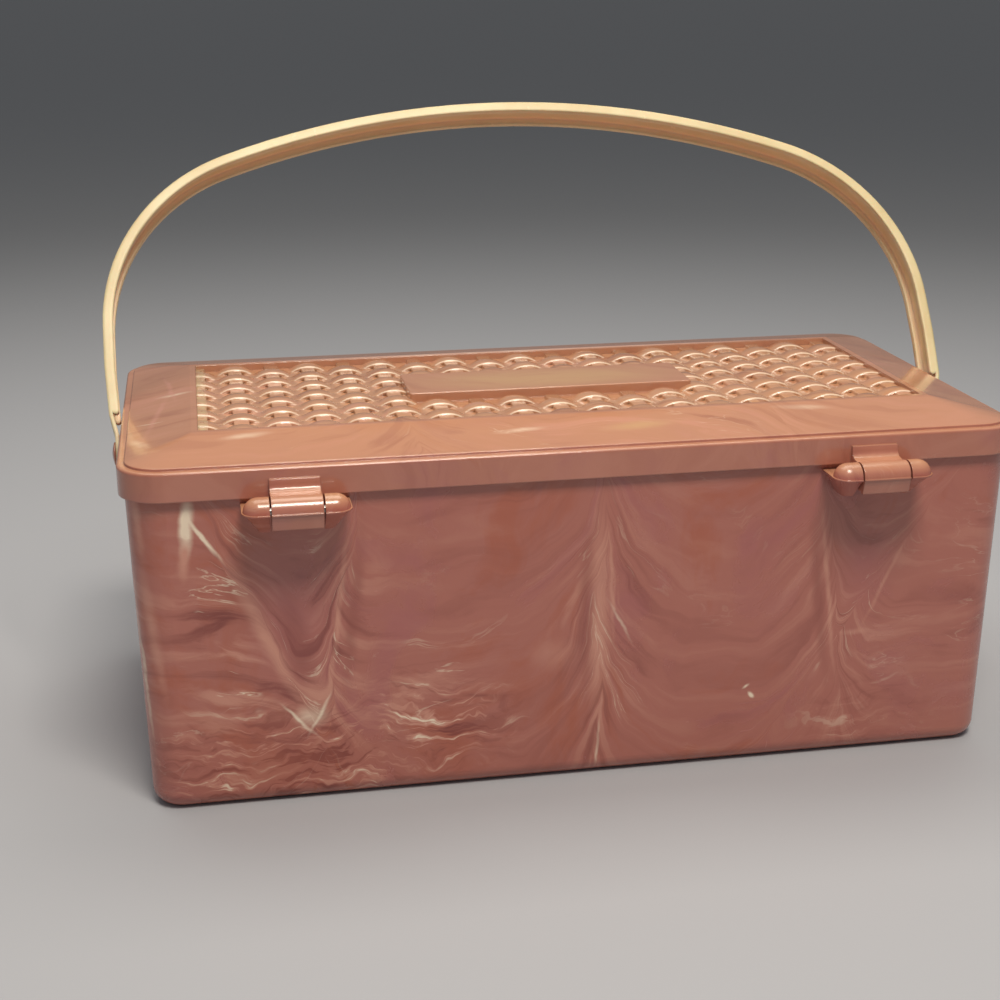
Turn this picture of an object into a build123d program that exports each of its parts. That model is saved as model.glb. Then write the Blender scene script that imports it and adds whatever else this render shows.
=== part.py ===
from build123d import *

import os
from math import atan2, cos, degrees, hypot, isclose, radians, sin, sqrt, tan

# Sewing caddy: a marbled moulded box with a woven-topped lid, a bail handle and a lift-out tray.
# Millimetres. The origin is the middle of the underside, +X runs along the length, +Z is up,
# and the two hinges are on the -Y side.

# Lid
LID_LENGTH = 330.0
LID_WIDTH = 166.4
LID_EDGE_HEIGHT = 129.3      # top of the lid's outer edge above the table
LID_CORNER = 16.0
LID_SKIN = 2.2
SKIRT_HEIGHT = 10.4
SKIRT_WALL = 1.5
EDGE_ROUND = 1.0
EDGE_LEDGE = 2.8             # flat bead between the skirt and the sloped border
EDGE_STEP = 0.9
STEP_ROUND = 0.35
END_BORDER = 26.0            # lid edge to ridge, at the two ends
SIDE_BORDER = 30.0           # lid edge to ridge, along the two sides
BORDER_RISE = 5.7
RIDGE_CORNER = 0.8
RIDGE_WIDTH = 2.4
PANEL_DEPTH = 3.0
PLAQUE_LENGTH = 112.0
PLAQUE_WIDTH = 31.5
PLAQUE_PROUD = 0.8           # the plaque's top stands this far above the ridge
PLAQUE_ROUND = 0.9

# Basket weave in the sunk panel: strands along X arch over every other stake that lies along Y
STRAND_COUNT = 13
STRAND_WIDTH = 7.3
STRAND_THICK = 0.8
ARCH_RISE = 2.3              # crest of an arch above the panel
FOOT_LAP = 0.1               # an arch reaches this far past the middle between two stakes
SOLE_RISE = 0.3              # low stretch of a strand above the panel
SOLE_DRAW = 0.1              # how much narrower it is on each side
STAKE_COUNT = 19
STAKE_WIDTH = 6.0
STAKE_DRAW = 0.4             # how far a stake's top is drawn in on each side
STAKE_RISE = 1.6
STAKE_LEFT = 0.8             # left end of the panel to the middle of the first stake
STAKE_RIGHT = 3.4            # middle of the last stake to the right end of the panel
WEAVE_MARGIN = 0.3           # panel's long side to the first strand's pitch
WEAVE_SINK = 0.3             # strands and stakes are rooted this deep in the panel

# Cutting shapes run this far past the faces that they cut
OVERSHOOT = 1.0

# Box body
BODY_INSET = 2.0             # skirt face to body face
BODY_CORNER = 14.0
BODY_WALL = 2.2
BODY_FLOOR = 2.4
BODY_DRAFT = 1.15
BOTTOM_ROUND = 6.5
INNER_ROUND = 3.5
SEAT_GAP = 0.2               # lid on rim, tray on shelf

# Knuckle, ears and pin, alike at both hinges and at the clasp
HINGE_SPREAD = 105.0         # middle of the box to the middle of a hinge
AXIS_OUT = 8.8               # skirt face to pin axis
AXIS_DROP = 12.7             # lid edge down to pin axis
KNUCKLE_WIDTH = 17.5
KNUCKLE_RADIUS = 5.2
EAR_LENGTH = 9.0
EAR_DEPTH = 8.4              # pin axis down to the foot of an ear
EAR_END_DRAW = 5.0           # how far the foot of an ear is drawn in from its end
EAR_FRONT_DRAW = 3.5         # how far the foot of an ear lies behind the pin axis
SIDE_GAP = 0.6
PARTING_PROUD = 0.4
PARTING_THICK = 0.5
PIN_DIAMETER = 2.6
PIN_FIT = 0.05
PIN_DEPTH = 6.0              # length of pin inside each ear
HEEL_DROP = 5.6
HEEL_SLANT = 1.2
HEEL_THICK = 1.8
TONGUE_DROP = 3.7            # lid edge down to the top of a hinge tongue
TONGUE_PROUD = 1.1
TONGUE_THICK = 2.2
FLARE_START = 1.4            # top of a tongue down to where it starts to flare out
FLARE_OUT = 0.3              # how much further out it is by then
BARREL_SINK = 0.5            # a tongue's top runs into the barrel this far under its crest
UNDERSIDE_OUT = 4.8          # skirt face to the bend in a tongue's underside
OPENING_ANGLE = 100.0        # the heel meets its stop pad just past this angle
STOP_GAP = 0.25
PAD_HEIGHT = 6.5

# Clasp
CLASP_GAP = 0.35             # clasp to skirt face
CLASP_LIP = 4.4              # finger lip, measured out from the skirt face
CLASP_BACK_DROP = 4.0        # lid edge down to the top of the clasp's back face
LIP_DROP = 2.7               # lid edge down to the outer edge of the lip
LIP_TOP_DROP = 1.6           # lid edge down to the top of the lip
LIP_EDGE = 0.5
LIP_UNDER_DROP = 4.4         # lid edge down to where the lip leaves the tongue
CLASP_FLARE_DROP = 5.2       # lid edge down to where the clasp starts to flare out
CLASP_FOOT_RISE = 1.2        # skirt's lower edge up to the foot of the clasp's back face

# Bail handle
PIVOT_DROP = 15.8            # lid edge down to the handle's pivot
STRAP_WIDTH = 13.2
STRAP_THICK = 1.5
RIB_DEPTH = 3.9              # strap and rib together
RIB_WIDTH = 2.2
RIB_START = 15.2             # pivot to the lower end of the ribs
FOOT_GAP = 0.3               # lug face to the boss on the handle's foot
FOOT_BOSS = 1.2              # how far the boss stands in from the strap
FOOT_BOSS_DIAMETER = 9.0
FOOT_RISE = 5.5              # the strap is straight up to here, then bows out
KNEE_BOW = 2.0               # how far the strap has bowed out where the ribs start
LEG_BOW = 3.0                # how far the legs stand out from the feet
BOW_RISE = 34.0              # pivot to where the legs stand out that far
ARCH_HEIGHT = 146.4
CROWN_RADIUS = 335.0
SHOULDER_RADIUS = 79.0
HANDLE_LEAN = 35.3           # leans away from the hinges

# Lugs and studs that carry the handle
LUG_WIDTH = 18.0
LUG_THICK = 1.7
STUD_HEAD = 9.0
STUD_HEAD_THICK = 1.5
STUD_HEAD_EDGE = 0.6
STUD_SHANK = 4.0
STUD_FIT = 0.05
STRAP_FIT = 0.08             # stud shank in the handle's foot
STUD_FLANGE = 6.0
STUD_FLANGE_THICK = 0.6
STUD_END_PLAY = 0.2

# Tray
TRAY_HEIGHT = 40.0
TRAY_TOP_DROP = 14.0         # rim of the body down to the rim of the tray
TRAY_CLEARANCE = 1.2         # tray to the body's inner wall
TRAY_WALL = 1.6
TRAY_CORNER = 10.0
TRAY_LIP = 1.0
TRAY_LIP_HEIGHT = 2.0
TRAY_SPLIT = 12.0            # middle of the box to the long divider
DIVIDER_DROP = 4.0
BIN_COUNT = 4
SIDE_BIN_LENGTH = 64.0
PEG_ROWS = 2
PEG_COLUMNS = 6
PEG_DIAMETER = 5.0
PEG_HEIGHT = 26.0
PEG_DECK_RISE = 4.0

# Shelves in the body that carry the tray
SHELF_DEPTH = 6.0
SHELF_LENGTH = 96.0
SHELF_THICK = 2.4
GUSSET_THICK = 2.0
GUSSET_HEIGHT = 12.0

# Places worked out from the sizes above
HALF_LENGTH = LID_LENGTH / 2
HALF_WIDTH = LID_WIDTH / 2
SKIRT_BOTTOM = LID_EDGE_HEIGHT - SKIRT_HEIGHT
RIM_HEIGHT = LID_EDGE_HEIGHT - LID_SKIN - SEAT_GAP
BODY_LENGTH = LID_LENGTH - 2 * BODY_INSET
BODY_WIDTH = LID_WIDTH - 2 * BODY_INSET
DRAFT_SLOPE = tan(radians(BODY_DRAFT))
AXIS_Y = -HALF_WIDTH - AXIS_OUT
AXIS_Z = LID_EDGE_HEIGHT - AXIS_DROP
PIVOT_Z = LID_EDGE_HEIGHT - PIVOT_DROP
FOOT_OUTER = HALF_LENGTH + FOOT_GAP + FOOT_BOSS + STRAP_THICK
KNEE_OUTER = FOOT_OUTER + KNEE_BOW
LEG_OUTER = FOOT_OUTER + LEG_BOW
RIB_END_RADIUS = (RIB_DEPTH - STRAP_THICK) / 2
KNEE_RISE = RIB_START - RIB_END_RADIUS
RIDGE_HEIGHT = LID_EDGE_HEIGHT + BORDER_RISE
PANEL_HEIGHT = RIDGE_HEIGHT - PANEL_DEPTH
PANEL_LENGTH = LID_LENGTH - 2 * (END_BORDER + RIDGE_WIDTH)
PANEL_WIDTH = LID_WIDTH - 2 * (SIDE_BORDER + RIDGE_WIDTH)
STRAND_PITCH = (PANEL_WIDTH - 2 * WEAVE_MARGIN) / STRAND_COUNT
STAKE_PITCH = (PANEL_LENGTH - STAKE_LEFT - STAKE_RIGHT) / (STAKE_COUNT - 1)
TRAY_TOP = RIM_HEIGHT - TRAY_TOP_DROP
TRAY_BOTTOM = TRAY_TOP - TRAY_HEIGHT
SHELF_TOP = TRAY_BOTTOM - SEAT_GAP
PIN_LENGTH = KNUCKLE_WIDTH + 2 * SIDE_GAP + 2 * PIN_DEPTH
HEEL_REACH = hypot(KNUCKLE_RADIUS - HEEL_SLANT, HEEL_DROP)
HEEL_START = degrees(atan2(HEEL_DROP, HEEL_SLANT - KNUCKLE_RADIUS))
PAD_OUT = HEEL_REACH * cos(radians(HEEL_START - OPENING_ANGLE)) + STOP_GAP


def rounded_block(length, width, corner, low, high, taper=0.0):
    """Upright block with rounded corners, standing on the height low."""
    outline = Pos(0, 0, low) * RectangleRounded(length, width, corner)
    return extrude(outline, high - low, taper=taper)


def span_box(x_span, y_span, z_span):
    """Box given by its lowest and highest value along each axis."""
    size = [high - low for low, high in (x_span, y_span, z_span)]
    middle = [(high + low) / 2 for low, high in (x_span, y_span, z_span)]
    return Pos(*middle) * Box(*size)


def rod(radius, x_low, x_high, y, z):
    """Round rod along X."""
    return Pos((x_low + x_high) / 2, y, z) * Rot(0, 90, 0) * Cylinder(radius, x_high - x_low)


def at(out, z):
    """Point given by its distance out of the skirt's -Y face and its height."""
    return (0, -HALF_WIDTH - out, z)


def side_prism(edges, x_low, x_high):
    """Prism along X from a closed outline drawn with at()."""
    return Pos(x_low, 0, 0) * extrude(make_face(edges), x_high - x_low, dir=(1, 0, 0))


def side_block(corners, x_low, x_high):
    """Prism along X with straight sides, from its corners given as (out, height)."""
    return side_prism(Polyline([at(*corner) for corner in corners], close=True), x_low, x_high)


def body_half_width_at(z):
    """Half of the body's outer width at a height, with the draft."""
    return BODY_WIDTH / 2 - (RIM_HEIGHT - z) * DRAFT_SLOPE


def ear_section(height, front, x_high, corner, grow=0.0):
    """Level section of an ear, from inside the body's wall out to its front."""
    x_low = KNUCKLE_WIDTH / 2 + SIDE_GAP
    wall = -body_half_width_at(height) + BODY_WALL / 2
    edge = front - grow
    end = x_high + grow
    radius = corner + grow
    outline = [
        Polyline((x_low, edge), (x_low, wall), (end, wall), (end, edge + radius)),
        RadiusArc((end, edge + radius), (end - radius, edge), radius),
        Line((end - radius, edge), (x_low, edge)),
    ]
    return Pos(0, 0, height) * make_face(outline)


def ear():
    """Bullet-ended ear to the right of a knuckle: domed above the pin, drawn in below it."""
    x_low = KNUCKLE_WIDTH / 2 + SIDE_GAP
    x_high = x_low + EAR_LENGTH
    dome_middle = x_high - KNUCKLE_RADIUS
    dome = rod(KNUCKLE_RADIUS, x_low, dome_middle, AXIS_Y, AXIS_Z)
    dome += Pos(dome_middle, AXIS_Y, AXIS_Z) * Sphere(KNUCKLE_RADIUS)
    reach = 2 * KNUCKLE_RADIUS
    dome &= span_box((x_low, x_high), (AXIS_Y - reach, AXIS_Y + reach), (AXIS_Z, AXIS_Z + reach))
    front = AXIS_Y - KNUCKLE_RADIUS
    top = ear_section(AXIS_Z, front, x_high, KNUCKLE_RADIUS)
    foot_end = x_high - EAR_END_DRAW
    foot = ear_section(AXIS_Z - EAR_DEPTH, AXIS_Y + EAR_FRONT_DRAW, foot_end, KNUCKLE_RADIUS / 2)
    hull = loft([top, foot], ruled=True)
    parting = ear_section(AXIS_Z - PARTING_THICK / 2, front, x_high, KNUCKLE_RADIUS, PARTING_PROUD)
    solid = dome + hull + extrude(parting, PARTING_THICK, dir=(0, 0, 1))
    bore = rod(PIN_DIAMETER / 2 + PIN_FIT, x_low - OVERSHOOT, x_low + PIN_DEPTH + PIN_FIT, AXIS_Y, AXIS_Z)
    return solid - bore


def stop_pad():
    """Pad on the wall that the heel of the knuckle meets at the end of its travel."""
    high = AXIS_Z - KNUCKLE_RADIUS / 2
    low = high - PAD_HEIGHT
    wall = -body_half_width_at(low) + BODY_WALL / 2
    half = KNUCKLE_WIDTH / 2 + SIDE_GAP
    return span_box((-half, half), (AXIS_Y + PAD_OUT, wall), (low, high))


def ear_pair():
    """Two ears and their stop pad, in the middle of the -Y wall."""
    right = ear()
    return right + mirror(right, about=Plane.YZ) + stop_pad()


def knuckle(tongue_edges):
    """Knuckle with its tongue, heel, parting line and pin bore, in the middle of the -Y side."""
    half = KNUCKLE_WIDTH / 2
    barrel = rod(KNUCKLE_RADIUS, -half, half, AXIS_Y, AXIS_Z)
    tongue = side_prism(tongue_edges, -half, half)
    front = AXIS_OUT + KNUCKLE_RADIUS
    heel_corners = [
        (front, AXIS_Z),
        (front - HEEL_SLANT, AXIS_Z - HEEL_DROP),
        (front - HEEL_SLANT - HEEL_THICK, AXIS_Z - HEEL_DROP),
        (front - HEEL_SLANT - HEEL_THICK, AXIS_Z),
    ]
    parting_corners = [
        (AXIS_OUT, AXIS_Z - PARTING_THICK / 2),
        (front + PARTING_PROUD, AXIS_Z - PARTING_THICK / 2),
        (front + PARTING_PROUD, AXIS_Z + PARTING_THICK / 2),
        (AXIS_OUT, AXIS_Z + PARTING_THICK / 2),
    ]
    for corners in (heel_corners, parting_corners):
        tongue += side_block(corners, -half, half)
    ends = half + OVERSHOOT
    return barrel + tongue - rod(PIN_DIAMETER / 2 + PIN_FIT, -ends, ends, AXIS_Y, AXIS_Z)


def flare(out, z):
    """S-curve from the straight part of a tongue, down and out to the barrel's crest."""
    end = at(AXIS_OUT, AXIS_Z + KNUCKLE_RADIUS - BARREL_SINK)
    return Spline(at(out, z), end, tangents=[(0, 0, -1), (0, -1, 0)])


def underside_bend():
    """Corner of a tongue's underside, a tongue's thickness under the barrel's crest."""
    return at(UNDERSIDE_OUT, AXIS_Z + KNUCKLE_RADIUS - BARREL_SINK - TONGUE_THICK)


def hinge_knuckle():
    """Lid's knuckle: the tongue leaves the skirt almost flush and flares out to the barrel."""
    top = LID_EDGE_HEIGHT - TONGUE_DROP
    sink = SKIRT_WALL / 2
    flare_out = TONGUE_PROUD + FLARE_OUT
    flare_z = top - FLARE_START
    curve = flare(flare_out, flare_z)
    inside = Polyline(
        curve @ 1,
        at(AXIS_OUT, AXIS_Z),
        underside_bend(),
        at(SKIRT_WALL, SKIRT_BOTTOM),
        at(-sink, SKIRT_BOTTOM),
        at(-sink, top),
        at(TONGUE_PROUD, top),
        curve @ 0,
    )
    return knuckle([curve, inside])


def make_clasp():
    """Clasp of the same family: its tongue stands free before the skirt and ends in a lip."""
    top = LID_EDGE_HEIGHT
    front = CLASP_GAP + TONGUE_THICK
    curve = flare(front, top - CLASP_FLARE_DROP)
    rest = Polyline(
        curve @ 1,
        at(AXIS_OUT, AXIS_Z),
        underside_bend(),
        at(SKIRT_WALL + CLASP_GAP, SKIRT_BOTTOM),
        at(CLASP_GAP, SKIRT_BOTTOM + CLASP_FOOT_RISE),
        at(CLASP_GAP, top - CLASP_BACK_DROP),
        at(front - LIP_EDGE, top - LIP_DROP),
        at(CLASP_LIP - LIP_EDGE, top - LIP_TOP_DROP),
        at(CLASP_LIP, top - LIP_DROP),
        at(front, top - LIP_UNDER_DROP),
        curve @ 0,
    )
    return Rot(0, 0, 180) * knuckle([curve, rest])


def make_pin():
    """Plain round pin with a small chamfer at each end."""
    pin = rod(PIN_DIAMETER / 2, -PIN_LENGTH / 2, PIN_LENGTH / 2, AXIS_Y, AXIS_Z)
    return chamfer(pin.edges().filter_by(GeomType.CIRCLE), PIN_DIAMETER / 8)


def make_body():
    """Box body with ears for two hinges and a clasp, and a shelf for the tray at each end."""
    shrink = 2 * RIM_HEIGHT * DRAFT_SLOPE
    foot_corner = BODY_CORNER - shrink / 2
    outer = rounded_block(
        BODY_LENGTH - shrink, BODY_WIDTH - shrink, foot_corner, 0, RIM_HEIGHT, -BODY_DRAFT
    )
    outer = fillet(outer.edges().group_by(Axis.Z)[0], BOTTOM_ROUND)
    cut = 2 * BODY_WALL + shrink - 2 * BODY_FLOOR * DRAFT_SLOPE
    inner_corner = BODY_CORNER - cut / 2
    brim = RIM_HEIGHT + OVERSHOOT
    inner = rounded_block(
        BODY_LENGTH - cut, BODY_WIDTH - cut, inner_corner, BODY_FLOOR, brim, -BODY_DRAFT
    )
    inner = fillet(inner.edges().group_by(Axis.Z)[0], INNER_ROUND)
    body = outer - inner
    ears = ear_pair()
    for side in (-1, 1):
        body += Pos(side * HINGE_SPREAD, 0, 0) * ears
    body += Rot(0, 0, 180) * ears
    for turn in (0, 180):
        body += Rot(0, 0, turn) * make_shelf()
    return body


def make_shelf():
    """Shelf with two gussets inside the +X end wall."""
    wall = BODY_LENGTH / 2 - (RIM_HEIGHT - SHELF_TOP) * DRAFT_SLOPE - BODY_WALL
    edge = wall - SHELF_DEPTH
    root = wall + BODY_WALL / 2
    half = SHELF_LENGTH / 2
    shelf = span_box((edge, root), (-half, half), (SHELF_TOP - SHELF_THICK, SHELF_TOP))
    low = SHELF_TOP - SHELF_THICK
    outline = Polyline([(edge, 0, low), (root, 0, low), (root, 0, low - GUSSET_HEIGHT)], close=True)
    gusset = extrude(make_face(outline), GUSSET_THICK, dir=(0, 1, 0))
    for y in (-half, half - GUSSET_THICK):
        shelf += Pos(0, y, 0) * gusset
    return shelf


def border_loft(low, high, low_inset, end_border, side_border):
    """Sloped border: straight sides, and corners that fan in to the ridge's corners."""
    low_face = RectangleRounded(
        LID_LENGTH - 2 * low_inset, LID_WIDTH - 2 * low_inset, LID_CORNER - low_inset
    )
    high_face = RectangleRounded(
        LID_LENGTH - 2 * end_border, LID_WIDTH - 2 * side_border, RIDGE_CORNER
    )
    return loft([Pos(0, 0, low) * low_face, Pos(0, 0, high) * high_face], ruled=True)


def end_lug():
    """Rounded lug below the +X end of the skirt, bored for the handle's stud."""
    inner = HALF_LENGTH - LUG_THICK
    half = LUG_WIDTH / 2
    overlap = SKIRT_BOTTOM + SKIRT_WALL
    plate = span_box((inner, HALF_LENGTH), (-half, half), (PIVOT_Z, SKIRT_BOTTOM))
    plate += span_box((HALF_LENGTH - SKIRT_WALL, HALF_LENGTH), (-half, half), (PIVOT_Z, overlap))
    plate += rod(half, inner, HALF_LENGTH, 0, PIVOT_Z)
    recess = STUD_FLANGE_THICK + STUD_FIT
    start = inner - OVERSHOOT
    plate -= rod(STUD_FLANGE / 2 + STUD_FIT, start, inner + recess, 0, PIVOT_Z)
    return plate - rod(STUD_SHANK / 2 + STUD_FIT, start, HALF_LENGTH + OVERSHOOT, 0, PIVOT_Z)


def strand_arch():
    """Arch of a strand over a stake, centred on it and standing on the height 0."""
    half = STAKE_PITCH / 2 + FOOT_LAP
    radius = (half**2 + ARCH_RISE**2) / (2 * ARCH_RISE)
    inner = sqrt((radius - STRAND_THICK) ** 2 - (radius - ARCH_RISE) ** 2)
    root = -WEAVE_SINK
    edges = [
        ThreePointArc((-half, 0, 0), (0, 0, ARCH_RISE), (half, 0, 0)),
        Polyline((half, 0, 0), (half, 0, root), (inner, 0, root), (inner, 0, 0)),
        ThreePointArc((inner, 0, 0), (0, 0, ARCH_RISE - STRAND_THICK), (-inner, 0, 0)),
        Polyline((-inner, 0, 0), (-inner, 0, root), (-half, 0, root), (-half, 0, 0)),
    ]
    return Pos(0, -STRAND_WIDTH / 2, 0) * extrude(make_face(edges), STRAND_WIDTH, dir=(0, 1, 0))


def stake(x, y_low, y_high):
    """Bar with slanted sides, lying along Y on the panel."""
    half = STAKE_WIDTH / 2
    top = half - STAKE_DRAW
    corners = [(-half, -WEAVE_SINK), (half, -WEAVE_SINK), (top, STAKE_RISE), (-top, STAKE_RISE)]
    outline = Polyline([(across, 0, z) for across, z in corners], close=True)
    return Pos(x, y_low, PANEL_HEIGHT) * extrude(make_face(outline), y_high - y_low, dir=(0, 1, 0))


def make_weave():
    """Strands and stakes of the sunk panel. They stop at the plaque."""
    half_strand = STRAND_WIDTH / 2
    half_length = PANEL_LENGTH / 2
    end = PLAQUE_LENGTH / 2
    rows = [(index - (STRAND_COUNT - 1) / 2) * STRAND_PITCH for index in range(STRAND_COUNT)]
    columns = [-half_length + STAKE_LEFT + index * STAKE_PITCH for index in range(STAKE_COUNT)]
    free_rows = [y for y in rows if abs(y) - half_strand > PLAQUE_WIDTH / 2]
    arch = Pos(0, 0, PANEL_HEIGHT) * strand_arch()
    arches = [
        Pos(x, y, 0) * arch
        for i, y in enumerate(rows)
        for j, x in enumerate(columns)
        if (i + j) % 2 and (y in free_rows or abs(x) > end)
    ]
    sole = half_strand - SOLE_DRAW
    low, high = PANEL_HEIGHT - WEAVE_SINK, PANEL_HEIGHT + SOLE_RISE
    soles = []
    for y in rows:
        spans = [(-half_length, half_length)]
        if y not in free_rows:
            spans = [(-half_length, -end), (end, half_length)]
        soles += [span_box(span, (y - sole, y + sole), (low, high)) for span in spans]
    reach = rows[-1] + half_strand
    near = min(y for y in free_rows if y > 0) - half_strand
    stakes = []
    for x in columns:
        spans = [(-reach, reach)] if abs(x) > end else [(-reach, -near), (near, reach)]
        stakes += [stake(x, *span) for span in spans]
    return arches, soles, stakes


def make_lid():
    """Lid: skirt, edge bead, sloped border, ridge, sunk panel, plaque, knuckles and end lugs."""
    rim = rounded_block(LID_LENGTH, LID_WIDTH, LID_CORNER, SKIRT_BOTTOM, LID_EDGE_HEIGHT)
    rim = fillet(rim.edges().group_by(Axis.Z)[-1], EDGE_ROUND)
    step = rounded_block(
        LID_LENGTH - 2 * EDGE_LEDGE,
        LID_WIDTH - 2 * EDGE_LEDGE,
        LID_CORNER - EDGE_LEDGE,
        LID_EDGE_HEIGHT - LID_SKIN / 2,
        LID_EDGE_HEIGHT + EDGE_STEP,
    )
    border = border_loft(
        LID_EDGE_HEIGHT + EDGE_STEP, RIDGE_HEIGHT, EDGE_LEDGE, END_BORDER, SIDE_BORDER
    )
    step += border
    seam = step.edges().filter_by(lambda edge: isclose(edge.center().Z, LID_EDGE_HEIGHT + EDGE_STEP))
    lid = rim + fillet(seam, STEP_ROUND)
    seat = LID_EDGE_HEIGHT - LID_SKIN
    hollow = rounded_block(
        LID_LENGTH - 2 * SKIRT_WALL,
        LID_WIDTH - 2 * SKIRT_WALL,
        LID_CORNER - SKIRT_WALL,
        SKIRT_BOTTOM - OVERSHOOT,
        seat,
    )
    hollow_top = PANEL_HEIGHT - LID_SKIN
    hollow += border_loft(
        seat - SEAT_GAP, hollow_top, BODY_INSET + BODY_WALL, END_BORDER, SIDE_BORDER
    )
    lid -= hollow
    sky = RIDGE_HEIGHT + OVERSHOOT
    lid -= rounded_block(PANEL_LENGTH, PANEL_WIDTH, RIDGE_CORNER, PANEL_HEIGHT, sky)
    for group in make_weave():
        lid += group
    plaque_top = RIDGE_HEIGHT + PLAQUE_PROUD
    plaque = rounded_block(PLAQUE_LENGTH, PLAQUE_WIDTH, PLAQUE_ROUND, hollow_top, plaque_top)
    lid += fillet(plaque.edges().group_by(Axis.Z)[-1], PLAQUE_ROUND / 2)
    for side in (-1, 1):
        lid += Pos(side * HINGE_SPREAD, 0, 0) * hinge_knuckle()
    lug = end_lug()
    return lid + lug + Rot(0, 0, 180) * lug


def arch_face(inset):
    """Area under the handle's arch at a depth inside its outer face, drawn in the XZ plane."""
    crown_z = ARCH_HEIGHT - CROWN_RADIUS
    shoulder_x = LEG_OUTER - SHOULDER_RADIUS
    shoulder_z = crown_z + sqrt((CROWN_RADIUS - SHOULDER_RADIUS) ** 2 - shoulder_x**2)
    turn = atan2(shoulder_z - crown_z, shoulder_x)
    crown = CROWN_RADIUS - inset
    shoulder = SHOULDER_RADIUS - inset
    meet_x, meet_z = crown * cos(turn), crown_z + crown * sin(turn)
    mid_x, mid_z = shoulder_x + shoulder * cos(turn / 2), shoulder_z + shoulder * sin(turn / 2)
    leg = [
        (LEG_OUTER - inset, shoulder_z),
        (LEG_OUTER - inset, BOW_RISE),
        (KNEE_OUTER - inset, KNEE_RISE),
        (FOOT_OUTER - inset, FOOT_RISE),
        (FOOT_OUTER - inset, -STRAP_WIDTH / 2),
    ]
    edges = [ThreePointArc((-meet_x, 0, meet_z), (0, 0, crown_z + crown), (meet_x, 0, meet_z))]
    for side in (-1, 1):
        points = [(side * x, 0, z) for x, z in leg]
        edges.append(ThreePointArc((side * meet_x, 0, meet_z), (side * mid_x, 0, mid_z), points[0]))
        edges.append(Polyline(points))
    edges.append(Line(edges[2] @ 1, edges[4] @ 1))
    return make_face(edges)


def arch_band(outer_inset, inner_inset, y_low, y_high):
    """Band of the arch between two depths and two places across the strap."""
    band = extrude(arch_face(outer_inset), y_high - y_low, dir=(0, 1, 0))
    cut = extrude(arch_face(inner_inset), y_high - y_low + 2 * OVERSHOOT, dir=(0, 1, 0))
    return Pos(0, y_low, 0) * (band - Pos(0, -OVERSHOOT, 0) * cut)


def make_handle():
    """Bail: a strap with an inward rib along each edge, and a bored foot with a boss at each end."""
    half = STRAP_WIDTH / 2
    size = 2 * LEG_OUTER
    above_foot = Pos(0, 0, size / 2) * Box(2 * size, size, size)
    handle = arch_band(0, STRAP_THICK, -half, half) & above_foot
    above_ribs = Pos(0, 0, RIB_START + size / 2) * Box(2 * size, size, size)
    slope = (LEG_OUTER - KNEE_OUTER) / (BOW_RISE - KNEE_RISE)
    rib_middle = KNEE_OUTER + slope * RIB_END_RADIUS - STRAP_THICK - RIB_END_RADIUS
    for y_low in (-half, half - RIB_WIDTH):
        handle += arch_band(STRAP_THICK / 2, RIB_DEPTH, y_low, y_low + RIB_WIDTH) & above_ribs
        for side in (-1, 1):
            end = Rot(90, 0, 0) * Cylinder(RIB_END_RADIUS, RIB_WIDTH)
            handle += Pos(side * rib_middle, y_low + RIB_WIDTH / 2, RIB_START) * end
    for side in (-1, 1):
        boss_face = side * (HALF_LENGTH + FOOT_GAP)
        x_low, x_high = sorted((side * FOOT_OUTER, side * (FOOT_OUTER - STRAP_THICK)))
        handle += rod(half, x_low, x_high, 0, 0)
        handle += rod(FOOT_BOSS_DIAMETER / 2, *sorted((boss_face, side * FOOT_OUTER)), 0, 0)
        bore_ends = (boss_face - side * OVERSHOOT, side * (FOOT_OUTER + OVERSHOOT))
        handle -= rod(STUD_SHANK / 2 + STRAP_FIT, *sorted(bore_ends), 0, 0)
    return Pos(0, 0, PIVOT_Z) * Rot(-HANDLE_LEAN, 0, 0) * handle


def make_stud():
    """Stud at the +X end: domed head, shank, and a flange staked over inside the lug."""
    inner = HALF_LENGTH - LUG_THICK
    seat = FOOT_OUTER + STUD_END_PLAY
    tip = seat + STUD_HEAD_THICK
    rim = seat + STUD_HEAD_EDGE
    half = STUD_HEAD / 2
    rise = tip - rim
    dome_radius = (half**2 + rise**2) / (2 * rise)
    mid = half / 2
    mid_x = tip - dome_radius + sqrt(dome_radius**2 - mid**2)
    flange = inner + STUD_FLANGE_THICK
    shank = STUD_SHANK / 2
    wide = STUD_FLANGE / 2
    shank_end = Polyline((inner, 0), (inner, wide), (flange, wide), (flange, shank), (seat, shank))
    head = Polyline((seat, shank), (seat, half), (rim, half))
    dome = ThreePointArc((rim, half), (mid_x, mid), (tip, 0))
    edges = [shank_end, head, dome, Line((tip, 0), (inner, 0))]
    return Pos(0, 0, PIVOT_Z) * revolve(make_face(edges), Axis.X)


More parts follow.
